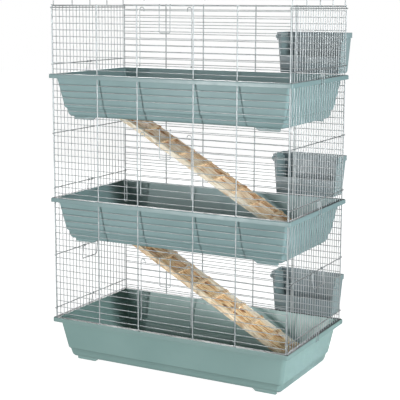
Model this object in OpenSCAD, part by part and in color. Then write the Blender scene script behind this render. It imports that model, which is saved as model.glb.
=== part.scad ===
// Three-tier wire cage: trays, wire walls, doors, ramps, hay racks and roof.
// Millimetres. Z up, front towards -Y, floor at Z = 0.

/* [Cage] */
// Width over the tray rims
cage_w = 1000; // [940:10:1060]
// Depth over the tray rims
cage_d = 530; // [500:10:560]
// Height from one tier to the next
tier_h = 473; // [455:1:495]
// Height of the top tier's wire walls above the rim
top_h = 255.5; // [250:0.5:262]
// Height of the roof above the top tier's rim
roof_h = 282; // [276:1:292]

/* [Trays] */
// Height of a tray from its feet to its rim
tray_h = 173; // [160:1:182]
// Height of the rim band
rim_band = 16; // [14:1:19]
// Wall thickness of the mouldings
wall = 3; // [2.6:0.1:3.6]
// Height of the moulded feet
foot_h = 11; // [9:1:13]

/* [Wire] */
// Radius of the upright posts
post_r = 2.2; // [2:0.05:2.4]
// Radius of the thin row wires
row_r = 1.35; // [1.2:0.05:1.5]
// Radius of the end rails
rail_r = 1.8; // [1.6:0.05:2]
// Distance between two rows
row_pitch = 24.4; // [23.8:0.1:25]
// Gaps between the uprights of an end wall
end_gaps = 22; // [20:2:24]

/* [Doors and racks] */
// Width of a front door
door_w = 212; // [200:1:216]
// Outside depth of a hay rack
rack_d = 97; // [80:1:110]
// Width of a hay rack
rack_w = 270; // [250:2:276]
// Gap between a hay rack and the rim below it
rack_gap = 2; // [1.5:0.5:20]

/* [Ramps] */
// Width of a ramp
ramp_w = 155; // [130:1:160]
// Thickness of a ramp board
board_t = 10; // [8:0.5:12]
// Height of the cleats and side rails above the board
cleat_t = 8; // [6:0.5:9]

/* [Hidden] */
$fn = 24;

hw = cage_w / 2;
hd = cage_d / 2;
// the racks stand out behind, so the whole is moved forward by half of that
wire_y = hd - 11;
rack_y0 = wire_y + post_r + 0.8;
ty = -(rack_y0 + rack_d - hd) / 2;

end_x = hw - 11;
post_x = hw - 13.5;
in_x = 0.118 * (2 * (hw - 11));
out_x = 0.294 * (2 * (hw - 11));
row_y = wire_y - post_r - row_r - 0.05;
top_y = wire_y - post_r - rail_r - 0.05;
row0 = 18;
rail_x = end_x + row_r + rail_r + 0.05;
top_in_x = end_x - row_r - rail_r - 0.05;
rail_lo = 36;
rail_hi = 247;
end_y = hd - 18;
gap_y = 2 * end_y / end_gaps;
n_low = floor((tier_h - 25 - row0) / row_pitch);

// a hay rack hangs on the sixth row of the back wall, its foot just above the rim
hook_y = rack_y0 - row_y + row_r + 0.35;
rack_over = 15;
rack_h = row0 + 5 * row_pitch + rack_over - rack_gap;
rack_mouth = 64;
rack_round = 14;

function rim(k) = tray_h + (k - 1) * tier_h;
function base(k) = foot_h + (k - 1) * tier_h;
function floor_z(k) = base(k) + wall;
function row_z(k, i) = rim(k) + row0 + i * row_pitch;
function door_rows(k) = k == 3 ? 9 : 10;
function wall_top(k) = k == 3 ? rim(k) + top_h + 3 : rim(k) + tier_h - wall - 0.1;
function last_row(k) = k == 3 ? 9 : n_low;
function catch_z(k) = k == 3 ? rim(3) + top_h : row_z(k, 11);
function catch_r(k) = k == 3 ? rail_r : row_r;

// ramp set-out: pin under the upper floor, foot on the lower floor
ramp_t = board_t + cleat_t;
pin_r = 3;
pin_in = 120;
pin_x = -hw + pin_in;
pin_drop = 20;
ramp_y1 = hd - 77;
ramp_y0 = ramp_y1 - ramp_w;
rise = tier_h - pin_drop - 0.4;
reach = (hw - 83) - pin_x;
span = sqrt(rise * rise + reach * reach);
ramp_a = atan2(rise, reach) - asin(ramp_t / 2 / span);
ramp_l = sqrt(span * span - ramp_t * ramp_t / 4);
near_rail = 14;
far_rail = 34;
// the far rail stands this much above the board, and the cleats lie across it
far_step = 4;
n_cleats = 10;
cleat_w = 14;
cleat_x0 = 18;
cleat_end = 97;
cleat_pitch = (ramp_l - cleat_x0 - cleat_end) / (n_cleats - 1);

// floor opening for the ramp
hole_x0 = pin_x - 14;
hole_far = 262;
hole_x1 = pin_x + hole_far;
hole_y0 = ramp_y0 - 6;
hole_y1 = ramp_y1 + 2;

plastic = [0.50, 0.62, 0.60];
zinc = [0.72, 0.75, 0.76];
pine = [0.82, 0.68, 0.48];

module rod(a, b, r) {
  d = b - a;
  l = norm(d);
  translate(a)
    rotate([0, acos(d[2] / l), atan2(d[1], d[0])])
      cylinder(h = l, r = r);
}

module path(pts, r) {
  for (i = [0 : len(pts) - 2])
    rod(pts[i], pts[i + 1], r);
  for (i = [1 : len(pts) - 2])
    translate(pts[i]) sphere(r = r * 1.04);
}

// ring with its axis along X, Y or Z
module ring(c, axis, bore, r) {
  translate(c)
    rotate(axis == "x" ? [0, 90, 0] : axis == "y" ? [90, 0, 0] : [0, 0, 0])
      rotate_extrude() translate([bore + r, 0]) circle(r = r);
}

// half section of a tray wall: height and distance in from the rim's edge
tray_top = tray_h - foot_h - wall;
function side(i) = [
  [62 + i, 0], [55 + i, 1.6], [52 + i, 5], [50 + i, 11], [46 + i, 30], [40.5 + i, 34], [40 + i, 37],
  [18 + i, tray_top], [18 + i, tray_top + (i > 0 ? 8 : wall / 2)]];
function prof(h, i) = let (s = side(i), n = len(s)) concat(
  [for (j = [0 : n - 1]) [-(h - s[j][0]), s[j][1]]],
  [for (j = [n - 1 : -1 : 0]) [h - s[j][0], s[j][1]]]);

// the tray's body: its two end views crossed, with the upright edges planed off
module tub(i) {
  intersection() {
    translate([0, hd, 0]) rotate([90, 0, 0])
      linear_extrude(height = cage_d) polygon(prof(hw, i));
    translate([-hw, 0, 0]) rotate([90, 0, 90])
      linear_extrude(height = cage_w) polygon(prof(hd, i));
    for_edges(i);
  }
}

module for_edges(i) {
  c = (hw + hd) / sqrt(2) - 4.5 + (i > 0 ? 0.6 : 0);
  intersection() {
    rotate([0, 0, 45]) translate([0, cage_w, 0]) rotate([90, 0, 0])
      linear_extrude(height = 2 * cage_w) polygon(diag(c, i));
    rotate([0, 0, -45]) translate([0, cage_w, 0]) rotate([90, 0, 0])
      linear_extrude(height = 2 * cage_w) polygon(diag(c, i));
  }
}

// the planes of the upright edges turn at other heights than the walls do
function edge(i) = [[50 + i, -1], [49.4 + i, 13.3], [45.6 + i, 31.1], [39.8 + i, 38.3],
  [18 + i, tray_top - 2.3], [18 + i, tray_top + 9]];
function diag(c, i) = let (q = sqrt(2), s = edge(i), n = len(s)) concat(
  [for (j = [0 : n - 1]) [-(c - q * s[j][0]), s[j][1]]],
  [for (j = [n - 1 : -1 : 0]) [c - q * s[j][0], s[j][1]]]);

module slab(w, d, r, h) {
  linear_extrude(height = h) union() {
    square([w - 2 * r, d], center = true);
    square([w, d - 2 * r], center = true);
    for (x = [-1, 1])
      for (y = [-1, 1])
        translate([x * (w / 2 - r), y * (d / 2 - r)]) circle(r = r);
  }
}

module foot() {
  // a long pad along a front or back edge, bevelled at its inner end
  rotate([90, 0, 0]) linear_extrude(height = 11, center = true)
    polygon([[-42, 0.5], [-42, -foot_h + 2], [-40, -foot_h], [39, -foot_h], [55, 0.5]]);
}

module tray(k) {
  color(plastic) translate([0, ty, base(k)]) difference() {
    union() {
      tub(0);
      // rolled rim: top plate and turned-down lip
      translate([0, 0, tray_h - foot_h - rim_band]) difference() {
        slab(cage_w, cage_d, 14, rim_band);
        translate([0, 0, -1]) slab(cage_w - 2 * wall, cage_d - 2 * wall, 11, rim_band - wall + 1);
      }
      for (sx = [0, 1])
        for (sy = [-1, 1])
          mirror([sx, 0, 0]) translate([-hw + 115, sy * (hd - 68.6), 0]) foot();
      if (k > 1)
        for (y = [hole_y0 - 3, hole_y1 + 3])
          translate([pin_x, y, -pin_drop + wall]) rotate([90, 0, 0]) {
            cylinder(h = 5, r = 8, center = true);
            translate([-7.5, 0, -2.5]) cube([15, pin_drop - wall + 1, 5]);
          }
    }
    translate([0, 0, wall]) tub(wall);
    if (k > 1) {
      translate([hole_x0, hole_y0, -1]) cube([hole_x1 - hole_x0, hole_y1 - hole_y0, wall + 3]);
      translate([pin_x, hd, -pin_drop + wall]) rotate([90, 0, 0]) cylinder(h = cage_d, r = pin_r + 0.05);
    }
  }
}

module long_panel(k, front) {
  // posts outside, rows inside; s turns the same panel to the back
  s = front ? -1 : 1;
  zt = wall_top(k);
  color(zinc) translate([0, ty, 0]) {
    for (x = [-post_x, -out_x, -in_x, in_x, out_x, post_x])
      translate([x, s * wire_y, rim(k) + 0.1]) cylinder(h = zt - rim(k) - 0.1, r = post_r);
    for (i = [0 : last_row(k)])
      if (front && i > 1 && i <= door_rows(k)) {
        for (m = [-1, 1])
          rod([m * (in_x - post_r + 0.5), s * row_y, row_z(k, i)], [m * post_x, s * row_y, row_z(k, i)], row_r);
      } else {
        rod([-post_x, s * row_y, row_z(k, i)], [post_x, s * row_y, row_z(k, i)], row_r);
      }
    if (k == 3)
      rod([-post_x, s * top_y, rim(3) + top_h], [post_x, s * top_y, rim(3) + top_h], rail_r);
  }
}

module end_panel(k, s) {
  zt = k == 3 ? rim(3) + top_h - 0.5 : rim(k) + tier_h - wall - 0.1;
  zi = k == 3 ? rim(3) + top_h - 1.5 : rim(k) + tier_h - wall - 6;
  color(zinc) translate([0, ty, 0]) {
    for (j = [0 : end_gaps])
      translate([s * end_x, -end_y + j * gap_y, rim(k) + 0.1])
        cylinder(h = zt - rim(k) - 0.1, r = row_r);
    rod([s * top_in_x, -end_y, zi], [s * top_in_x, end_y, zi], rail_r);
    // two stout rails outside, hooked round the corner posts
    for (z = [rail_lo, rail_hi])
      union() {
        rod([s * rail_x, -wire_y, rim(k) + z], [s * rail_x, wire_y, rim(k) + z], rail_r);
        for (m = [-1, 1])
          ring([s * post_x, m * wire_y, rim(k) + z], "z", post_r + 0.25, 1.6);
      }
  }
}

module door(k) {
  n = door_rows(k);
  w = door_w / 2;
  ez = row_z(k, 1);
  ey = -(row_y - row_r - 1.5 - 0.05);
  color(zinc) translate([0, ty, 0]) {
    for (i = [2 : n])
      union() {
        rod([-w, -row_y, row_z(k, i)], [w, -row_y, row_z(k, i)], row_r);
        if (i > n - 2)
          for (m = [-1, 1])
            ring([m * 22, latch_y, row_z(k, i)], "z", 1.6, 1);
      }
    for (m = [-1, 1])
      union() {
        // edge upright, running down to the eye round the hinge wire
        translate([m * w, ey, ez]) cylinder(h = row_z(k, n) + 3 - ez, r = 1.5);
        ring([m * w, -row_y, ez], "x", row_r + 0.08, 1.3);
        // finger loop bent over at the top corner
        translate([m * (w - 9), ey, row_z(k, n) + 3]) rotate([90, 0, 0])
          rotate_extrude(angle = 180) translate([9, 0]) circle(r = 1.5);
        translate([m * (w - 18), ey, row_z(k, n) - 3]) cylinder(h = 6, r = 1.5);
      }
  }
}

latch_y = -(row_y + row_r + 0.3 + 1.5);

module latch(k) {
  zt = catch_z(k) + catch_r(k) + 0.3 + 1.5;
  zb = catch_z(k) - (k == 3 ? 95.5 : 105);
  b = 5;
  color(zinc) translate([0, ty, 0]) {
    for (m = [-1, 1]) {
      translate([m * 22, latch_y, zb + b]) cylinder(h = zt - zb - b, r = 1.5);
      translate([m * 22, latch_y, zt]) sphere(r = 1.56);
      rod([m * 22, latch_y, zt], [m * 22, -row_y + 1.4, zt], 1.5);
      translate([m * (22 - b), latch_y, zb + b]) rotate([90, 0, 0]) rotate([0, 0, m > 0 ? -90 : 180])
        rotate_extrude(angle = 90) translate([b, 0]) circle(r = 1.5);
    }
    rod([-22 + b, latch_y, zb], [22 - b, latch_y, zb], 1.5);
  }
}

module tray_clip(k, s) {
  // hangs on the lower end rail and catches under the rim
  y = 0.45 * gap_y;
  z = rim(k);
  xr = rail_x + rail_r + 0.08 + 1.3;
  xo = hw + 1.7;
  zl = -rim_band - 0.6 - 1.2;
  color(zinc) translate([0, ty, z]) {
    for (m = [-1, 1]) {
      ring([s * rail_x, m * y, rail_lo], "y", rail_r + 0.08, 1.3);
      path([[s * xr, m * y, rail_lo - 0.4], [s * xo, m * y, 1], [s * xo, m * y, zl], [s * (hw - 1.5), m * y, zl]], 1.1);
    }
    rod([s * (hw - 1.5), -y - 2, zl], [s * (hw - 1.5), y + 2, zl], 1.2);
  }
}

module handle(s) {
  y = 2.25 * gap_y;
  z = rim(1) + rail_hi;
  b = 9;
  xh = s * (rail_r + 0.08 + 2.15);
  drop = 58;
  // hangs a little outwards from the wall
  color(zinc) translate([s * rail_x, ty, z]) rotate([0, -6 * s, 0]) {
    for (m = [-1, 1]) {
      ring([0, m * y, 0], "y", rail_r + 0.08, 1.6);
      translate([xh, m * y, -drop + b]) cylinder(h = drop - b, r = 1.9);
      translate([xh, m * (y - b), -drop + b]) rotate([90, 0, 90]) rotate([0, 0, m > 0 ? -90 : 180])
        rotate_extrude(angle = 90) translate([b, 0]) circle(r = 1.9);
    }
    rod([xh, -y + b, -drop], [xh, y - b, -drop], 1.9);
  }
}

// roof: five long wires with turned-down ends, thin cross wires below them
roof_z = rim(3) + roof_h;
long_ys = [-(hd - 21), -(hd - 21) / 2, 0, (hd - 21) / 2, hd - 21];
hatch_x0 = -85;
hatch_x1 = 160;
hatch_y = hd - 21;

roof_bend = 8;
module roof_end(y, m) {
  // turned-down end that stands on the wall's top rail
  zb = rim(3) + top_h - 1.5 + rail_r + 0.1;
  translate([m * top_in_x, y, zb]) cylinder(h = roof_z - roof_bend - zb, r = rail_r);
  translate([m * (top_in_x - roof_bend), y, roof_z - roof_bend]) rotate([90, 0, 0])
    rotate([0, 0, m > 0 ? 0 : 90]) rotate_extrude(angle = 90) translate([roof_bend, 0]) circle(r = rail_r);
}
module roof_wire(y, x0, x1) {
  rod([x0, y, roof_z], [x1, y, roof_z], rail_r);
}

module roof_panel() {
  zc = roof_z - rail_r - row_r - 0.05;
  n = floor((2 * end_x - 60) / row_pitch / 2) * 2;
  color(zinc) translate([0, ty, 0]) {
    xe = top_in_x - roof_bend - 0.05;
    for (y = long_ys)
      for (m = [-1, 1])
        roof_end(y, m);
    for (j = [0, 2, 3, 4])
      roof_wire(long_ys[j], -xe, xe);
    // the second long wire stops at each side of the hatch
    roof_wire(long_ys[1], -xe, hatch_x0 - 8);
    roof_wire(long_ys[1], hatch_x1 + 8, xe);
    for (i = [-n / 2 : n / 2]) {
      x = i * row_pitch;
      if (x > hatch_x0 - 6 && x < hatch_x1 + 6)
        rod([x, -4, zc], [x, hatch_y + 3, zc], row_r);
      else
        rod([x, -hatch_y - 3, zc], [x, hatch_y + 3, zc], row_r);
    }
  }
}

module roof_hatch() {
  // hinged on the middle long wire, its hooked front lying over the first one
  zt = roof_z + rail_r + 0.35 + 1.6;
  yf = -hatch_y - 8;
  color(zinc) translate([0, ty, 0]) {
    for (x = [hatch_x0, hatch_x1]) {
      ring([x, 0, roof_z], "x", rail_r + 0.08, 1.5);
      path([[x, -rail_r - 3.2, roof_z + 0.5], [x, -14, zt], [x, yf, zt], [x, yf, zt - 13]], 1.6);
    }
    for (y = [-hatch_y + 9, -hatch_y * 0.5, -20])
      rod([hatch_x0, y, zt + 1.6 + row_r + 0.05], [hatch_x1, y, zt + 1.6 + row_r + 0.05], row_r);
    for (i = [1 : 9])
      rod([hatch_x0 + i * (hatch_x1 - hatch_x0) / 10, -hatch_y + 5, zt], [hatch_x0 + i * (hatch_x1 - hatch_x0) / 10, -16, zt], row_r);
  }
}

module wire_clip() {
  // closed loop of wire hung on the front rows of the middle tier
  y = -(row_y + row_r + 1.1 + 0.1);
  z0 = rim(2) + row0 - 4;
  z1 = row_z(2, 3) + row_r + 1.1 + 0.15;
  color(zinc) translate([-0.171 * (cage_w - 22), ty, 0]) {
    for (m = [-1, 1]) {
      translate([m * 5, y, z0 + 5]) cylinder(h = z1 - z0 - 5, r = 1.1);
      translate([m * 5, y, z1]) sphere(r = 1.15);
      rod([m * 5, y, z1], [m * 5, -row_y + 2, z1], 1.1);
    }
    translate([0, y, z0 + 5]) rotate([90, 0, 0]) rotate([0, 0, 180])
      rotate_extrude(angle = 180) translate([5, 0]) circle(r = 1.1);
  }
}

// hay rack, seen from its end: y away from the wire, z up
module rack_side(i, top) {
  y0 = i > 0 ? 3 : 0;
  r = rack_round - i;
  translate([y0, i]) square([rack_d - rack_round - y0, rack_round]);
  translate([y0, rack_round]) square([rack_d - i - y0, top - rack_round]);
  translate([rack_d - rack_round, rack_round]) circle(r = r);
}

module rack_body(i, top) {
  w = rack_w / 2 - 2.5 - i;
  intersection() {
    translate([-rack_w / 2, 0, 0]) rotate([90, 0, 90]) linear_extrude(height = rack_w) rack_side(i, top);
    translate([0, rack_d + 1, 0]) rotate([90, 0, 0]) linear_extrude(height = rack_d + 2)
      polygon([[-w + 14, -1], [w - 14, -1], [w, rack_h + 6], [-w, rack_h + 6]]);
  }
}

module rack(k) {
  xc = (k == 3 ? 0.34 : 0.33) * cage_w;
  h = rack_h;
  // the row wire that carries it lies this far above its base
  hang = rack_h - rack_over;
  hook_z = hang + row_r + 0.55;
  color(plastic) translate([xc, ty + rack_y0, row_z(k, 5) - hang]) difference() {
    union() {
      rack_body(0, h);
      // wide lip round the top, except at the wire
      translate([-rack_w / 2, 0, h - 20]) cube([rack_w, rack_d, 20]);
      // two flat hooks over a row of the back wall
      for (m = [-1, 1])
        translate([m * (rack_w / 2 - 2) - 2, 0, 0]) rotate([90, 0, 90]) linear_extrude(height = 4)
          polygon([[0, hang - 15], [0, hook_z], [-hook_y, hook_z], [-hook_y, hang - 7],
            [-hook_y - 4, hang - 7], [-hook_y - 4, hook_z + 3.5], [2, hook_z + 3.5], [2, hang - 15]]);
    }
    rack_body(wall, h + 1);
    translate([-rack_w / 2 + wall, 3, h - 20 + wall]) cube([rack_w - 2 * wall, rack_d - 3 - wall, 20]);
    // the mouth towards the wire, above a low front
    translate([-rack_w / 2 + 17, -1, rack_mouth - rack_gap]) cube([rack_w - 34, 6, h]);
  }
}

// ramp parts lie along +X from the pin, then are turned to the slope
module on_slope(k) {
  translate([pin_x, ty, floor_z(k + 1) - pin_drop])
    rotate([0, ramp_a, 0]) translate([0, 0, -ramp_t / 2]) children();
}

module ramp_board(k) {
  color(pine) on_slope(k) difference() {
    translate([-10, ramp_y0 + near_rail, 0]) cube([ramp_l + 10, ramp_w - near_rail - far_rail, board_t]);
    translate([0, ramp_y1, ramp_t / 2]) rotate([90, 0, 0]) cylinder(h = ramp_w, r = pin_r + 0.05);
  }
}

module ramp_cleats(k) {
  color(pine) on_slope(k)
    for (i = [0 : n_cleats - 1])
      translate([cleat_x0 + i * cleat_pitch, 0, board_t]) union() {
        translate([0, ramp_y0 + near_rail + 0.1, 0])
          cube([cleat_w, ramp_w - near_rail - far_rail - 0.2, cleat_t]);
        translate([0, ramp_y1 - far_rail - 1, far_step + 0.05])
          cube([cleat_w, far_rail + 0.5, cleat_t - far_step - 0.05]);
      }
}

module ramp_rail(k, y, w, h) {
  color(pine) on_slope(k) difference() {
    translate([-10, y, 0]) cube([ramp_l + 10, w, h]);
    translate([0, y + w + 1, ramp_t / 2]) rotate([90, 0, 0]) cylinder(h = w + 2, r = pin_r + 0.05);
  }
}

module ramp_pin(k) {
  color(zinc) translate([pin_x, ty, floor_z(k + 1) - pin_drop])
    rod([0, hole_y0 - 8.5, 0], [0, hole_y1 + 7.5, 0], pin_r);
}

tray(1);  // tray_1
tray(2);  // tray_2
tray(3);  // tray_3
long_panel(1, true);  // front_panel_1
long_panel(2, true);  // front_panel_2
long_panel(3, true);  // front_panel_3
long_panel(1, false);  // back_panel_1
long_panel(2, false);  // back_panel_2
long_panel(3, false);  // back_panel_3
end_panel(1, -1);  // left_panel_1
end_panel(2, -1);  // left_panel_2
end_panel(3, -1);  // left_panel_3
end_panel(1, 1);  // right_panel_1
end_panel(2, 1);  // right_panel_2
end_panel(3, 1);  // right_panel_3
door(1);  // door_1
door(2);  // door_2
door(3);  // door_3
latch(1);  // latch_1
latch(2);  // latch_2
latch(3);  // latch_3
tray_clip(1, -1);  // clip_left_1
tray_clip(2, -1);  // clip_left_2
tray_clip(3, -1);  // clip_left_3
tray_clip(1, 1);  // clip_right_1
tray_clip(2, 1);  // clip_right_2
tray_clip(3, 1);  // clip_right_3
handle(-1);  // handle_left
handle(1);  // handle_right
roof_panel();
roof_hatch();
wire_clip();
rack(1);  // rack_1
rack(2);  // rack_2
rack(3);  // rack_3
ramp_board(1);  // ramp_board_1
ramp_cleats(1);  // ramp_cleats_1
ramp_rail(1, ramp_y0, near_rail - 0.05, ramp_t);  // ramp_rail_near_1
ramp_rail(1, ramp_y1 - far_rail + 0.05, far_rail - 0.05, board_t + far_step);  // ramp_rail_far_1
ramp_pin(1);  // ramp_pin_1
ramp_board(2);  // ramp_board_2
ramp_cleats(2);  // ramp_cleats_2
ramp_rail(2, ramp_y0, near_rail - 0.05, ramp_t);  // ramp_rail_near_2
ramp_rail(2, ramp_y1 - far_rail + 0.05, far_rail - 0.05, board_t + far_step);  // ramp_rail_far_2
ramp_pin(2);  // ramp_pin_2
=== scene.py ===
"""Three-tier wire rabbit cage: moulded trays, zinc-plated wire walls, pine ramps and hay racks."""
import math

import bmesh
import bpy
from mathutils import Matrix, Vector


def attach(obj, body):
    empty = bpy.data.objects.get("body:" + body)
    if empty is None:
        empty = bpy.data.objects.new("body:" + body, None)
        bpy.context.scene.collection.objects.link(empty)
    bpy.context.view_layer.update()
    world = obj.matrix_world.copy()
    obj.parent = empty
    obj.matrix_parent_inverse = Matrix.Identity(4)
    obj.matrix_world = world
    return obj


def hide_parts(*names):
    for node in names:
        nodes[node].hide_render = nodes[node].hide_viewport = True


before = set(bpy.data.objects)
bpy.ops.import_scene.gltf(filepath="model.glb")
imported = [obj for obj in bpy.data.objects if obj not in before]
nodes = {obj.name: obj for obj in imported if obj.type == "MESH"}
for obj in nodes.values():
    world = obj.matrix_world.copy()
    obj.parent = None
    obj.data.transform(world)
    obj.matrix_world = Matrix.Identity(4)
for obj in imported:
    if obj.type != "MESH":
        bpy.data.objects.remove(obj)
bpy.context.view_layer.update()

TIERS = (1, 2, 3)

# Sizes repeated from the part's source, in metres, and the slope of its ramps
MM = 0.001
HALF_W, HALF_D = 0.500, 0.265
SHIFT_Y = -0.0445
TIER_H, FOOT_H = 0.473, 0.011
WALL = 0.003
RIM_TOP, LIP_LOW = 0.162, 0.146
HOLE_X, HOLE_Y = (-0.394, -0.118), (0.027, 0.190)
PIN_X, PIN_DROP = -0.380, 0.020
SLOPE = math.radians(29.03)


def put_in_scene(name, data):
    obj = bpy.data.objects.new(name, data)
    bpy.context.scene.collection.objects.link(obj)
    return obj


# Camera
# The picture's width, its centre column and the focal length are in pixels
PICTURE_W, CENTRE_COLUMN, FOCAL_LENGTH = 400, 198.187, 1102.05
SENSOR_W = 36.0
SHIFT_DOWN = -0.06
AZIMUTH, PITCH, ROLL = math.radians(28.349), math.radians(8.992), math.radians(0.188)
DISTANCE, EYE_H = 4.1510, 1.3889
NEAREST, FARTHEST = 0.05, 60.0


def make_camera():
    data = bpy.data.cameras.new("camera")
    data.sensor_width = SENSOR_W
    data.lens = SENSOR_W * FOCAL_LENGTH / PICTURE_W
    data.shift_x = (PICTURE_W / 2 - CENTRE_COLUMN) / PICTURE_W
    data.shift_y = SHIFT_DOWN
    data.clip_start, data.clip_end = NEAREST, FARTHEST
    camera = put_in_scene("camera", data)
    camera.location = (DISTANCE * math.sin(AZIMUTH), SHIFT_Y - DISTANCE * math.cos(AZIMUTH), EYE_H)
    level = Vector((-math.sin(AZIMUTH), math.cos(AZIMUTH), 0))
    ahead = level * math.cos(PITCH) - Vector((0, 0, math.sin(PITCH)))
    side = ahead.cross(Vector((0, 0, 1))).normalized()
    up = side.cross(ahead)
    right = side * math.cos(ROLL) + up * math.sin(ROLL)
    top = up * math.cos(ROLL) - side * math.sin(ROLL)
    camera.rotation_mode = "QUATERNION"
    camera.rotation_quaternion = Matrix((right, top, -ahead)).transposed().to_quaternion()
    bpy.context.scene.camera = camera


# Helpers for shader trees
# Places of a colour Mix node's factor, first and second colour, and of its result
MIX_INPUTS, MIX_RESULT = (0, 6, 7), 2


def feed(tree, value, socket):
    """Link another node's output to an input, or set a plain value on it."""
    if isinstance(value, bpy.types.NodeSocket):
        tree.links.new(value, socket)
    else:
        socket.default_value = value


def feed_named(tree, sockets, **values):
    """Feed the inputs that the keywords name, with _ for a space."""
    for label, value in values.items():
        feed(tree, value, sockets[label.replace("_", " ")])


def add(tree, kind, **values):
    """A new node; a keyword is one of its settings, or else one of its inputs."""
    node = tree.nodes.new(kind)
    for label, value in values.items():
        if hasattr(node, label):
            setattr(node, label, value)
        else:
            feed_named(tree, node.inputs, **{label: value})
    return node


def grey(brightness):
    return (brightness, brightness, brightness, 1)


def grey_stops(tree, value, stops):
    """Colour Ramp through greys, given as places and their brightness."""
    node = add(tree, "ShaderNodeValToRGB", Fac=value)
    elements = node.color_ramp.elements
    while len(elements) < len(stops):
        elements.new(0.5)
    for element, (place, brightness) in zip(elements, stops):
        element.position = place
        element.color = grey(brightness)
    return node.outputs["Color"]


def mix_colour(tree, factor, first, second, blend="MIX"):
    node = add(tree, "ShaderNodeMix", data_type="RGBA", blend_type=blend)
    for place, value in zip(MIX_INPUTS, (factor, first, second)):
        feed(tree, value, node.inputs[place])
    return node.outputs[MIX_RESULT]


def spread(tree, value, low, high, to_low=0.0, to_high=1.0, smooth=False):
    """Bring a value from the range low to high into the range to_low to to_high, and hold it there."""
    return add(tree, "ShaderNodeMapRange", interpolation_type="SMOOTHSTEP" if smooth else "LINEAR",
               Value=value, From_Min=low, From_Max=high, To_Min=to_low, To_Max=to_high).outputs["Result"]


def soft_step(tree, value, place, half_width):
    """From 0 before the place to 1 after it, or from 1 to 0 where the half width is negative."""
    return spread(tree, value, place - half_width, place + half_width)


def calculate(tree, kind, operation, values):
    """A node of either mathematical kind, with its values fed in turn."""
    node = add(tree, kind, operation=operation)
    for value, socket in zip(values, node.inputs):
        feed(tree, value, socket)
    return node.outputs


def maths(tree, operation, *values):
    return calculate(tree, "ShaderNodeMath", operation, values)["Value"]


def times(tree, a, b):
    return maths(tree, "MULTIPLY", a, b)


def vector_maths(tree, operation, *values):
    made = calculate(tree, "ShaderNodeVectorMath", operation, values)
    return made["Value" if operation == "DOT_PRODUCT" else "Vector"]


def split_xyz(tree, vector):
    return add(tree, "ShaderNodeSeparateXYZ", Vector=vector).outputs


def surface_normal(tree):
    return add(tree, "ShaderNodeNewGeometry").outputs["Normal"]


def noise(tree, vector, output="Fac", **values):
    return add(tree, "ShaderNodeTexNoise", Vector=vector, **values).outputs[output]


def mapped(tree, vector, **values):
    """The vector stretched, turned or moved by a Mapping node."""
    return add(tree, "ShaderNodeMapping", Vector=vector, **values).outputs["Vector"]


def new_group(name, inputs, outputs):
    """A node group; an input given as None is a vector, as a tuple a colour and as a number a value."""
    group = bpy.data.node_groups.new(name, "ShaderNodeTree")
    for label, value in inputs.items():
        kind = "Vector" if value is None else "Color" if isinstance(value, tuple) else "Float"
        socket = group.interface.new_socket(name=label, in_out="INPUT", socket_type="NodeSocket" + kind)
        if value is not None:
            socket.default_value = value
    for label, kind in outputs.items():
        group.interface.new_socket(name=label, in_out="OUTPUT", socket_type="NodeSocket" + kind)
    return group, group.nodes.new("NodeGroupInput").outputs, group.nodes.new("NodeGroupOutput").inputs


def place_group(tree, group, vector, **values):
    """Place an effect in a material; node_tree is set first, because it gives the node its inputs."""
    return add(tree, "ShaderNodeGroup", node_tree=group, Vector=vector, **values).outputs


# Effects, as node groups
# Ranges of the noises and of the upward normal that take a moulding from one tone or roughness to the other
PATCH_RANGE, LEVEL_RANGE, SMEAR_RANGE = (0.30, 0.70), (0.55, 1.0), (0.35, 0.65)
# The grain lies along X: streaks are drawn out that way and bent a little, and knots are narrower across it
GRAIN_STRETCH = (1.0, 9.0, 9.0)
GRAIN_BEND = (0.06, 0.55, 0.55)
KNOT_STRETCH = (1.0, 1.9, 0.4)
# Ranges of the streaks' noise, of the rings' wave and of the distance from a knot's heart
DARK_TO_MIDDLE, MIDDLE_TO_LIGHT = (0.42, 0.50), (0.50, 0.60)
STREAK_RANGE, SAWN_ROUGHNESS = (0.3, 0.7), (0.50, 0.72)
RING_RANGE, KNOT_RANGE = (0.45, 0.80), (0.36, 0.12)
# How far in from a rim's edge the painted shade on its top starts and ends and the band's tone ends, and how
# far under the rim's top the painted shade starts, each with half the width over which it fades, in metres
SHADE_OUTER, SHADE_INNER, SHADE_FADE = 0.0035, 0.0195, 0.001
LIP_INNER, LIP_FADE = 0.010, 0.002
SHADE_UNDER, RISE_FADE = 0.0009, 0.0003
# A face looks inwards where the product of its normal and its place in plan is less than this
FACING_IN, FACING_FADE = -0.11, 0.03


def make_finish_group():
    """Uneven tone, fine grain and settled dust for moulded and plated faces."""
    group, given, made = new_group(
        "uneven finish",
        {"Vector": None, "Deep": grey(0.3), "Pale": grey(0.5), "Dust": grey(0.6), "Dust Amount": 0.5,
         "Patch Scale": 6.0, "Grain Scale": 900.0, "Least Roughness": 0.3, "Most Roughness": 0.5},
        {"Color": "Color", "Roughness": "Float", "Grain": "Float", "Waves": "Float"})
    patch = noise(group, given["Vector"], Scale=given["Patch Scale"], Detail=3.0, Roughness=0.55)
    grain = noise(group, given["Vector"], Scale=given["Grain Scale"], Detail=2.0, Roughness=0.6)
    smear = noise(group, given["Vector"], Scale=38.0, Detail=4.0, Roughness=0.65)
    tone = mix_colour(group, spread(group, patch, *PATCH_RANGE), given["Deep"], given["Pale"])
    level = spread(group, split_xyz(group, surface_normal(group))["Z"], *LEVEL_RANGE)
    settled = times(group, times(group, level, smear), given["Dust Amount"])
    roughness = spread(group, smear, *SMEAR_RANGE, given["Least Roughness"], given["Most Roughness"])
    feed_named(group, made, Color=mix_colour(group, settled, tone, given["Dust"]), Roughness=roughness,
               Grain=grain, Waves=patch)
    return group


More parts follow.
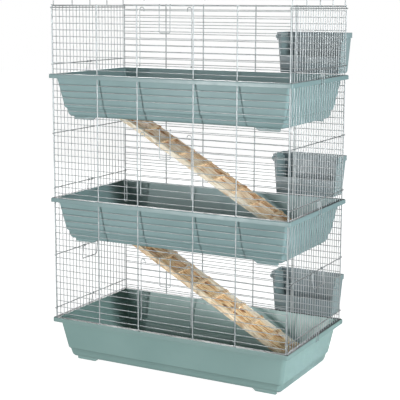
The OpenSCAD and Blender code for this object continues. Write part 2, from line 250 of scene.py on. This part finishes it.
def make_pine_group():
    """Streaks, year rings and knots that run along X, with a rough sawn surface."""
    group, given, made = new_group(
        "pine figure",
        {"Vector": None, "Dark": grey(0.3), "Middle": grey(0.5), "Light": grey(0.7), "Knot": grey(0.1),
         "Knot Amount": 1.0, "Ring Amount": 0.4},
        {"Color": "Color", "Roughness": "Float", "Height": "Float"})
    warp = noise(group, given["Vector"], "Color", Scale=7.0, Detail=3.0)
    along = mapped(group, given["Vector"], Scale=GRAIN_STRETCH)
    bent = vector_maths(group, "MULTIPLY_ADD", warp, GRAIN_BEND, along)
    streak = noise(group, bent, Scale=10.0, Detail=6.0, Roughness=0.66)
    rings = add(group, "ShaderNodeTexWave", wave_type="BANDS", bands_direction="Y", Vector=bent, Scale=3.1,
                Distortion=5.0, Detail=3.0, Detail_Scale=1.4).outputs["Fac"]
    knots = add(group, "ShaderNodeTexVoronoi", Vector=mapped(group, given["Vector"], Scale=KNOT_STRETCH),
                Scale=15.0, Randomness=1.0).outputs["Distance"]
    deep = mix_colour(group, spread(group, streak, *DARK_TO_MIDDLE), given["Dark"], given["Middle"])
    pine = mix_colour(group, spread(group, streak, *MIDDLE_TO_LIGHT), deep, given["Light"])
    band = times(group, spread(group, rings, *RING_RANGE), given["Ring Amount"])
    ringed = mix_colour(group, band, pine, given["Dark"])
    heart = times(group, spread(group, knots, *KNOT_RANGE, smooth=True), given["Knot Amount"])
    feed_named(group, made, Color=mix_colour(group, heart, ringed, given["Knot"]), Height=streak,
               Roughness=spread(group, streak, *STREAK_RANGE, *SAWN_ROUGHNESS))
    return group


def from_middle(group, vector):
    """A place as seen from the cage's upright middle line."""
    return vector_maths(group, "ADD", vector, (0, -SHIFT_Y, 0))


def make_inward_shade_group():
    """Faces turned to the cage's middle take another tone than the outer ones: painted shade for the inside
    of a hollow moulding.
    """
    group, given, made = new_group(
        "painted inward shade", {"Vector": None, "Outer": grey(0.5), "Inner": grey(0.3)}, {"Color": "Color"})
    plan = vector_maths(group, "MULTIPLY", from_middle(group, given["Vector"]), (1, 1, 0))
    outward = vector_maths(group, "DOT_PRODUCT", plan, surface_normal(group))
    inner = soft_step(group, outward, FACING_IN, -FACING_FADE)
    feed_named(group, made, Color=mix_colour(group, inner, given["Outer"], given["Inner"]))
    return group


def make_rim_shade_group():
    """Painted shade on a rim's top, where the wire walls stand and no light falls from above, and the deeper
    tone of the rim's band.
    """
    group, given, made = new_group(
        "painted rim shade", {"Vector": None, "Color": grey(0.5), "Joint": grey(0.05), "Lip Shade": 0.2},
        {"Color": "Color"})
    away = vector_maths(group, "ABSOLUTE", from_middle(group, given["Vector"]))
    inwards = split_xyz(group, vector_maths(group, "SUBTRACT", (HALF_W, HALF_D, 0), away))
    edge = maths(group, "MINIMUM", inwards["X"], inwards["Y"])
    above_feet = maths(group, "SUBTRACT", split_xyz(group, given["Vector"])["Z"], FOOT_H)
    height = maths(group, "MODULO", above_feet, TIER_H)
    lip = times(group, soft_step(group, height, LIP_LOW - RISE_FADE, RISE_FADE),
                soft_step(group, edge, LIP_INNER, -LIP_FADE))
    toned = mix_colour(group, times(group, lip, given["Lip Shade"]), given["Color"], given["Joint"])
    # Painted shade: the rim's top, in from its outer edge, goes to the dark tone
    shaded_strip = times(group, soft_step(group, edge, SHADE_OUTER, SHADE_FADE),
                  soft_step(group, edge, SHADE_INNER, -SHADE_FADE))
    top = soft_step(group, height, RIM_TOP - SHADE_UNDER, RISE_FADE)
    feed_named(group, made, Color=mix_colour(group, times(group, shaded_strip, top), toned, given["Joint"]))
    return group


uneven_finish = make_finish_group()
pine_figure = make_pine_group()
inward_shade = make_inward_shade_group()
rim_top_shade = make_rim_shade_group()

# Materials
# Near-black painted shade for the rims' tops
RIM_SHADE_TONE = (0.018, 0.026, 0.027, 1)
# What the tone of a rack's inward faces is multiplied by: painted shade for the rack's hollow
INWARD_SHADE_TINT = (0.56, 0.57, 0.60, 1)
# Settled dust is the plastic's pale tone times the gain, plus the lift
DUST_GAIN, DUST_LIFT = 1.25, 0.02
# The floor's tone varies between two greys; its glow is what lights the cage and what the camera sees
FLOOR_TONES, FLOOR_GLOW = [(0.3, 0.195), (0.7, 0.20)], (0.10, 0.97)
# How far each pine's figure is moved along the grain, its dark, middle and light wood, its knots' colour,
# and how strong its knots and year rings are; a share of the move also goes across the grain
ACROSS_SHARE = 0.7
PINES = {
    "knotty": dict(move=0.0, dark=(0.56, 0.28, 0.11), middle=(0.97, 0.70, 0.38), light=(0.98, 0.86, 0.58),
                   knot=(0.24, 0.10, 0.035), knots=1.0, rings=0.5),
    # Lighter pine: painted light on the upper ramp's board
    "sandy": dict(move=0.83, dark=(0.68, 0.46, 0.27), middle=(0.96, 0.79, 0.58), light=(0.98, 0.90, 0.74),
                  knot=(0.50, 0.20, 0.05), knots=1.0, rings=0.4),
    "warm": dict(move=0.42, dark=(0.55, 0.35, 0.19), middle=(0.88, 0.66, 0.42), light=(0.97, 0.81, 0.56),
                 knot=(0.30, 0.13, 0.04), knots=0.9, rings=0.45),
    # Darker pine: painted shade on the upper ramp's far rail
    "shaded_dusky": dict(move=0.61, dark=(0.50, 0.28, 0.13), middle=(0.72, 0.52, 0.32), light=(0.84, 0.67, 0.46),
                  knot=(0.40, 0.16, 0.04), knots=1.0, rings=0.5),
    "pale": dict(move=1.37, dark=(0.62, 0.43, 0.25), middle=(0.88, 0.71, 0.50), light=(0.96, 0.84, 0.65),
                 knot=(0.42, 0.24, 0.10), knots=0.6, rings=0.3),
    # Pale pine: a painted highlight on the lower ramp's far rail
    "cream": dict(move=2.11, dark=(0.70, 0.56, 0.38), middle=(0.86, 0.76, 0.60), light=(0.92, 0.86, 0.74),
                  knot=(0.55, 0.36, 0.20), knots=0.4, rings=0.2),
}


def start_material(name):
    material = bpy.data.materials.new(name)
    material.use_nodes = True
    tree = material.node_tree
    return material, tree, tree.nodes["Principled BSDF"], add(tree, "ShaderNodeTexCoord").outputs["Object"]


def relief(tree, height, **values):
    """Bump from a height; Normal is another relief that it lies on."""
    return add(tree, "ShaderNodeBump", Height=height, **values).outputs["Normal"]


# Paints shade on the rims' tops, and gives the rims' bands a deeper tone
def with_painted_rim_shade(tree, coords, colour):
    return place_group(tree, rim_top_shade, coords, Color=colour, Joint=RIM_SHADE_TONE)["Color"]


# A rack's inward faces are darkened: painted shade
def with_painted_inward_shade(tree, coords, colour):
    darkened = mix_colour(tree, 1.0, colour, INWARD_SHADE_TINT, "MULTIPLY")
    return place_group(tree, inward_shade, coords, Outer=colour, Inner=darkened)["Color"]


def moulded_plastic(name, deep, pale, marked):
    """The tone varies between deep and pale; marked adds what only this moulding shows."""
    material, tree, shader, coords = start_material(name)
    dust = [part * DUST_GAIN + DUST_LIFT for part in pale]
    finish = place_group(tree, uneven_finish, coords, Deep=(*deep, 1), Pale=(*pale, 1), Dust=(*dust, 1),
                         Dust_Amount=1.0, Patch_Scale=3.2, Grain_Scale=1100.0,
                         Least_Roughness=0.34, Most_Roughness=0.46)
    fine = relief(tree, finish["Grain"], Strength=0.18, Distance=0.0002)
    waved = relief(tree, finish["Waves"], Strength=0.25, Distance=0.0025, Normal=fine)
    feed_named(tree, shader.inputs, Base_Color=marked(tree, coords, finish["Color"]),
               Roughness=finish["Roughness"], Normal=waved, IOR=1.49, Specular_IOR_Level=0.45)
    return material


def zinc_plate(name):
    material, tree, shader, coords = start_material(name)
    finish = place_group(tree, uneven_finish, coords, Deep=(0.33, 0.355, 0.36, 1),
                         Pale=(0.42, 0.45, 0.455, 1), Dust=(0.44, 0.45, 0.455, 1), Dust_Amount=0.3,
                         Patch_Scale=45.0, Grain_Scale=700.0, Least_Roughness=0.50, Most_Roughness=0.60)
    feed_named(tree, shader.inputs, Base_Color=finish["Color"], Roughness=finish["Roughness"], Metallic=1.0,
               Normal=relief(tree, finish["Grain"], Strength=0.02, Distance=0.00005))
    return material


def sawn_pine(name, move, dark, middle, light, knot, knots, rings):
    """The grain runs along the board: the coordinates are turned by the ramp's slope."""
    material, tree, shader, coords = start_material(name)
    turned = mapped(tree, coords, Rotation=(0, -SLOPE, 0), Location=(move, move * ACROSS_SHARE, 0))
    figure = place_group(tree, pine_figure, turned, Dark=(*dark, 1), Middle=(*middle, 1), Light=(*light, 1),
                         Knot=(*knot, 1), Knot_Amount=knots, Ring_Amount=rings)
    feed_named(tree, shader.inputs, Base_Color=figure["Color"], Roughness=figure["Roughness"],
               Normal=relief(tree, figure["Height"], Strength=0.35, Distance=0.0006), Specular_IOR_Level=0.3)
    return material


def studio_white():
    """Floor that looks paper white to the camera and gives the cage only a little light."""
    material, tree, shader, coords = start_material("studio white")
    cloudy = noise(tree, coords, Scale=0.8, Detail=1.0)
    seen = add(tree, "ShaderNodeLightPath").outputs["Is Camera Ray"]
    feed_named(tree, shader.inputs, Base_Color=grey_stops(tree, cloudy, FLOOR_TONES),
               Roughness=0.9, Specular_IOR_Level=0.1, Emission_Color=grey(1.0),
               Emission_Strength=spread(tree, seen, 0.0, 1.0, *FLOOR_GLOW))
    return material


lower_plastic = moulded_plastic("lowest moulding", deep=(0.190, 0.300, 0.286), pale=(0.222, 0.337, 0.322),
                                marked=with_painted_rim_shade)
tray_plastic = moulded_plastic("sage grey moulding", deep=(0.187, 0.283, 0.286), pale=(0.227, 0.328, 0.334),
                               marked=with_painted_rim_shade)
rack_plastic = moulded_plastic("sage grey rack", deep=(0.192, 0.262, 0.268), pale=(0.225, 0.300, 0.308),
                               marked=with_painted_inward_shade)
zinc = zinc_plate("zinc plated wire")
pines = {name: sawn_pine(name + " pine", **row) for name, row in PINES.items()}

# Mesh helpers
SMOOTH_BELOW = math.radians(30)
SAME_PLACE, SAME_PLANE = 0.00001, math.radians(0.6)


def finish_object(name, bm, material, body, node):
    """Make the piece that stands for a CAD node, and let it ride on the node's body."""
    mesh = bpy.data.meshes.new(name)
    bm.to_mesh(mesh)
    bm.free()
    mesh.materials.append(material)
    for polygon in mesh.polygons:
        polygon.use_smooth = True
    mesh.set_sharp_from_angle(angle=SMOOTH_BELOW)
    obj = put_in_scene(name, mesh)
    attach(obj, body)
    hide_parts(node)
    return obj


def merged_copy(node):
    """The CAD solid as one closed mesh of whole faces, ready for bevels."""
    bm = bmesh.new()
    bm.from_mesh(nodes[node].data)
    bmesh.ops.remove_doubles(bm, verts=bm.verts, dist=SAME_PLACE)
    bmesh.ops.dissolve_limit(bm, angle_limit=SAME_PLANE, verts=bm.verts, edges=bm.edges)
    return bm


def sharp_edges(bm, least_angle):
    return [e for e in bm.edges if len(e.link_faces) == 2 and e.calc_face_angle(0) > least_angle]


def round_edges(bm, edges, width, segments):
    bmesh.ops.bevel(bm, geom=edges, offset=width, offset_type="OFFSET", segments=segments, profile=0.5,
                    affect="EDGES", clamp_overlap=True, material=-1)


def without_repeats(elements):
    return list(dict.fromkeys(elements))


# Trays
# Inner face of the moulding from the floor to the rim's lip: distance in from the rim's edge, and height, in
# millimetres
TRAY_PROFILE = [(65, 3), (58, 4.6), (55, 8), (53, 14), (49, 33), (43.5, 37), (43, 40), (21, RIM_TOP / MM),
                (0, RIM_TOP / MM), (0, LIP_LOW / MM)]
# What tells the floor from the walls, and how near two places are that count as one
LEVEL_NORMAL, FLOOR_BELOW = 0.99, 0.0035
CUT_NEAR, EDGE_NEAR, RIM_NEAR = 1e-6, 1e-5, 1e-4
# Roundings as width and segments, with the angle from which an edge is rounded
CORNER_ROUND = (0.011, 7)
LIP_ROUND, LIP_SHARP = (0.0042, 5), math.radians(40)
FOOT_ROUND = (0.0024, 3)
SOFT_ROUND, SOFT_SHARP = (0.0007, 2), math.radians(55)
# Feet: their places in from the rim's edges, how far each reaches outwards and, at its foot and its top,
# inwards, how thick it is, and how deep it is sunk into the floor
FOOT_IN_X, FOOT_IN_Y = 0.115, 0.0686
FOOT_OUTER, FOOT_INNER_LOW, FOOT_INNER_HIGH = 0.042, 0.039, 0.055
FOOT_THICK, FOOT_SUNK = 0.011, 0.0012
# Lugs that carry a ramp's pin: a short round bar beside the opening, whose corners above the bend go up into
# the floor. Past the shoulder they end at the top's half width, and between the shoulders they spread out
LUG_R, LUG_THICK, LUG_SIDES = 0.008, 0.005, 40
LUG_CLEAR, LUG_SUNK = 0.003, 0.001
LUG_BEND_Z, LUG_SHOULDER, LUG_HALF_TOP, LUG_SPREAD = 0.0005, 0.004, 0.0078, 1.4


def raise_walls(bm):
    """Draw the floor's outline up along the profile, and return the edges that run up its corners."""
    ring = list(bm.edges)
    risers = []
    for (old_in, old_z), (new_in, new_z) in zip(TRAY_PROFILE, TRAY_PROFILE[1:]):
        made = bmesh.ops.extrude_edge_only(bm, edges=ring)["geom"]
        corners = [v for v in made if isinstance(v, bmesh.types.BMVert)]
        for corner in corners:
            corner.co.x += math.copysign((old_in - new_in) * MM, corner.co.x)
            corner.co.y += math.copysign((old_in - new_in) * MM, corner.co.y)
            corner.co.z += (new_z - old_z) * MM
        ring = [e for e in made if isinstance(e, bmesh.types.BMEdge) and all(v in corners for v in e.verts)]
        risers += [e for v in corners for e in v.link_edges if e not in ring]
    return risers


def floor_faces(bm):
    return [f for f in bm.faces if abs(f.normal.z) > LEVEL_NORMAL and f.calc_center_median().z < FLOOR_BELOW]


def cut_floor_opening(bm):
    """Cut the floor along the opening's four sides, and take out what lies between them."""
    cuts = [((x, 0, 0), (1, 0, 0)) for x in HOLE_X] + [((0, y, 0), (0, 1, 0)) for y in HOLE_Y]
    for place, normal in cuts:
        level = floor_faces(bm)
        edges = [e for f in level for e in f.edges]
        corners = [v for f in level for v in f.verts]
        bmesh.ops.bisect_plane(bm, geom=without_repeats(level + edges + corners), dist=CUT_NEAR,
                               plane_co=place, plane_no=normal)
        bm.normal_update()
    middles = {f: f.calc_center_median() for f in floor_faces(bm)}
    hole = [f for f, middle in middles.items()
            if HOLE_X[0] < middle.x < HOLE_X[1] and HOLE_Y[0] < middle.y < HOLE_Y[1]]
    bmesh.ops.delete(bm, geom=hole, context="FACES_ONLY")
    bmesh.ops.delete(bm, geom=[e for e in bm.edges if not e.link_faces], context="EDGES")


def round_rim(bm):
    """Round the rim's edges at its top."""
    bm.normal_update()
    rim = [e for e in sharp_edges(bm, LIP_SHARP) if all(abs(v.co.z - RIM_TOP) < EDGE_NEAR for v in e.verts)]
    round_edges(bm, rim, *LIP_ROUND)


def turn_faces_up(bm):
    """Point the skin's normals into the tray and up from its rim."""
    bmesh.ops.recalc_face_normals(bm, faces=bm.faces)
    rim = [f for f in bm.faces if f.calc_center_median().z > RIM_TOP - RIM_NEAR]
    if max(rim, key=lambda f: f.calc_area()).normal.z < 0:
        bmesh.ops.reverse_faces(bm, faces=bm.faces)


def thickened(bm):
    """The skin with its wall's thickness on the outer side, by Solidify on an object that is then removed."""
    mesh = bpy.data.meshes.new("tray skin")
    bm.to_mesh(mesh)
    bm.free()
    skin = put_in_scene("tray skin", mesh)
    wall = skin.modifiers.new("wall", "SOLIDIFY")
    wall.thickness, wall.offset = WALL, -1.0
    wall.use_even_offset, wall.use_rim = True, True
    bpy.context.view_layer.update()
    graph = bpy.context.evaluated_depsgraph_get()
    thick = bmesh.new()
    thick.from_mesh(skin.evaluated_get(graph).to_mesh())
    bpy.data.objects.remove(skin)
    bpy.data.meshes.remove(mesh)
    return thick


def tray_shell(tier, base):
    bm = bmesh.new()
    inset, height = TRAY_PROFILE[0]
    bmesh.ops.create_grid(bm, x_segments=1, y_segments=1, size=1.0)
    bmesh.ops.scale(bm, verts=bm.verts, vec=(HALF_W - inset * MM, HALF_D - inset * MM, 1))
    bmesh.ops.translate(bm, verts=bm.verts, vec=(0, 0, height * MM))
    risers = raise_walls(bm)
    if tier > 1:
        cut_floor_opening(bm)
    round_edges(bm, risers, *CORNER_ROUND)
    round_rim(bm)
    turn_faces_up(bm)
    bmesh.ops.translate(bm, verts=bm.verts, vec=(0, SHIFT_Y, base))
    return thickened(bm)


def add_foot(bm, base, side_x, side_y):
    """Moulded pad with a long slanted inner end."""
    made = bmesh.ops.create_cube(bm, size=1.0)["verts"]
    for v in made:
        low, inner = v.co.z < 0, v.co.x > 0
        along = (FOOT_INNER_LOW if low else FOOT_INNER_HIGH) if inner else -FOOT_OUTER
        v.co.x = side_x * (HALF_W - FOOT_IN_X - along)
        v.co.y = v.co.y * FOOT_THICK + side_y * (HALF_D - FOOT_IN_Y) + SHIFT_Y
        v.co.z = base + (-FOOT_H if low else FOOT_SUNK)
    bmesh.ops.recalc_face_normals(bm, faces=without_repeats(f for v in made for f in v.link_faces))
    round_edges(bm, without_repeats(e for v in made for e in v.link_edges), *FOOT_ROUND)


def add_lug(bm, base, y):
    """Ear under the floor that carries the ramp's pin, round below and sunk into the floor above."""
    made = bmesh.ops.create_cone(bm, cap_ends=True, segments=LUG_SIDES, radius1=LUG_R, radius2=LUG_R,
                                 depth=LUG_THICK)["verts"]
    bmesh.ops.rotate(bm, verts=made, cent=(0, 0, 0), matrix=Matrix.Rotation(math.radians(90), 3, "X"))
    pin_under_floor = PIN_DROP - WALL
    for v in made:
        if v.co.z > LUG_BEND_Z:
            outside = abs(v.co.x) > LUG_SHOULDER
            v.co.x = math.copysign(LUG_HALF_TOP, v.co.x) if outside else v.co.x * LUG_SPREAD
            v.co.z = pin_under_floor + LUG_SUNK
    bmesh.ops.translate(bm, verts=made, vec=(PIN_X, y + SHIFT_Y, base - pin_under_floor))


def keep_in_outline(bm):
    """Hold the rounded rim to the tray's outline."""
    for v in bm.verts:
        v.co.x = max(-HALF_W, min(HALF_W, v.co.x))
        v.co.y = max(SHIFT_Y - HALF_D, min(SHIFT_Y + HALF_D, v.co.y))


def make_tray(tier, material):
    base = FOOT_H + (tier - 1) * TIER_H
    bm = tray_shell(tier, base)
    for side_x in (-1, 1):
        for side_y in (-1, 1):
            add_foot(bm, base, side_x, side_y)
    if tier > 1:
        for y in (HOLE_Y[0] - LUG_CLEAR, HOLE_Y[1] + LUG_CLEAR):
            add_lug(bm, base, y)
    keep_in_outline(bm)
    obj = finish_object(f"tray_moulding_{tier}", bm, material, "cage", f"tray_{tier}")
    edge = obj.modifiers.new("soft edges", "BEVEL")
    edge.width, edge.segments = SOFT_ROUND
    edge.limit_method, edge.angle_limit = "ANGLE", SOFT_SHARP


# Hay racks and ramps
# Roundings of their edges, and the angle from which an edge is rounded
RACK_ROUND, RACK_SHARP = (0.0011, 3), math.radians(28)
WOOD_SEGMENTS, WOOD_SHARP = 3, math.radians(40)
WOOD_ROUNDS = {"ramp_board": 0.0009, "ramp_cleats": 0.0013, "ramp_rail_near": 0.0016, "ramp_rail_far": 0.0018}
# Ramp 1's far rail takes the pale cream pine as a painted highlight, ramp 2's far rail the darker dusky pine
# as painted shade from the tray above, and ramp 2's board the lighter sandy pine as painted light against
# that shade
RAMP_PINES = {
    1: {"ramp_board": "knotty", "ramp_cleats": "warm", "ramp_rail_near": "pale", "ramp_rail_far": "cream"},
    2: {"ramp_board": "sandy", "ramp_cleats": "warm", "ramp_rail_near": "cream", "ramp_rail_far": "shaded_dusky"},
}


def make_rack(tier):
    node = f"rack_{tier}"
    bm = merged_copy(node)
    round_edges(bm, sharp_edges(bm, RACK_SHARP), *RACK_ROUND)
    finish_object(f"hay_rack_{tier}", bm, rack_plastic, f"rack_{tier}", node)


def make_ramp(tier):
    for part, width in WOOD_ROUNDS.items():
        node = f"{part}_{tier}"
        bm = merged_copy(node)
        round_edges(bm, sharp_edges(bm, WOOD_SHARP), width, WOOD_SEGMENTS)
        finish_object(f"{node}_wood", bm, pines[RAMP_PINES[tier][part]], f"ramp_{tier}", node)


def node_material(name):
    """Material of a CAD node. Only the wires and pins show; pieces of this script stand for the others."""
    kind = name.split("_")[0]
    if kind == "ramp":
        return zinc if "pin" in name else pines["knotty"]
    return {"tray": tray_plastic, "rack": rack_plastic}.get(kind, zinc)


# Stage and light
FLOOR_HALF, FLOOR_DROP = 14.0, 0.0005
COOL = (0.95, 0.98, 1.0)
# Brightness of the room by how high one looks: what lights the cage, and what its wires mirror
SOFT_ROOM = [(0.0, 0.16), (0.3, 0.16), (0.8, 0.10)]
MIRRORED_ROOM = [(0.15, 0.04), (0.3, 0.07), (0.55, 0.5), (0.9, 0.6)]


def make_stage():
    bm = bmesh.new()
    bmesh.ops.create_grid(bm, x_segments=2, y_segments=2, size=FLOOR_HALF)
    mesh = bpy.data.meshes.new("studio floor")
    bm.to_mesh(mesh)
    bm.free()
    mesh.materials.append(studio_white())
    floor = put_in_scene("studio_floor", mesh)
    floor.location.z = -FLOOR_DROP


def make_room():
    """Soft grey room that the camera sees as white."""
    world = bpy.data.worlds.new("studio")
    world.use_nodes = True
    tree = world.node_tree
    height = split_xyz(tree, add(tree, "ShaderNodeTexCoord").outputs["Generated"])["Z"]
    path = add(tree, "ShaderNodeLightPath").outputs
    room = mix_colour(tree, path["Is Glossy Ray"], grey_stops(tree, height, SOFT_ROOM),
                      grey_stops(tree, height, MIRRORED_ROOM))
    seen = mix_colour(tree, path["Is Camera Ray"], room, grey(1.0))
    feed_named(tree, tree.nodes["Background"].inputs, Color=seen)
    bpy.context.scene.world = world
    bpy.context.scene.view_settings.view_transform = "Standard"


def area_light(name, place, target, size, power, colour=(1, 1, 1), beam=180):
    data = bpy.data.lights.new(name, "AREA")
    data.shape = "RECTANGLE"
    data.size, data.size_y = size
    data.energy, data.color, data.spread = power, colour, math.radians(beam)
    light = put_in_scene(name, data)
    light.location = place
    light.rotation_mode = "QUATERNION"
    light.rotation_quaternion = (Vector(target) - Vector(place)).to_track_quat("-Z", "Y")
    light.visible_camera = False


def make_light():
    area_light("key_strip", (-1.5, -4.4, 0.95), target=(0, 0, 0.95), size=(0.07, 1.8), power=182)
    area_light("right_strip", (4.2, -0.8, 1.15), target=(0, 0, 1.0), size=(0.5, 2.2), power=195, colour=COOL)
    area_light("right_low", (2.6, -0.7, 0.12), target=(0.5, 0, 0.09), size=(0.5, 0.1), power=0.15,
               colour=COOL, beam=9)
    area_light("back_fill", (-2.6, 4.2, 2.4), target=(0, 0, 0.7), size=(1.8, 1.8), power=105)
    area_light("upper_right", (3.4, -1.0, 2.5), target=(0, 0, 0.7), size=(0.9, 0.9), power=34)


# The cage, its stage and its light
make_camera()
for name, node in nodes.items():
    node.data.materials[0] = node_material(name)
for tier in TIERS:
    make_tray(tier, lower_plastic if tier == 1 else tray_plastic)
    make_rack(tier)
for tier in RAMP_PINES:
    make_ramp(tier)
make_stage()
make_room()
make_light()
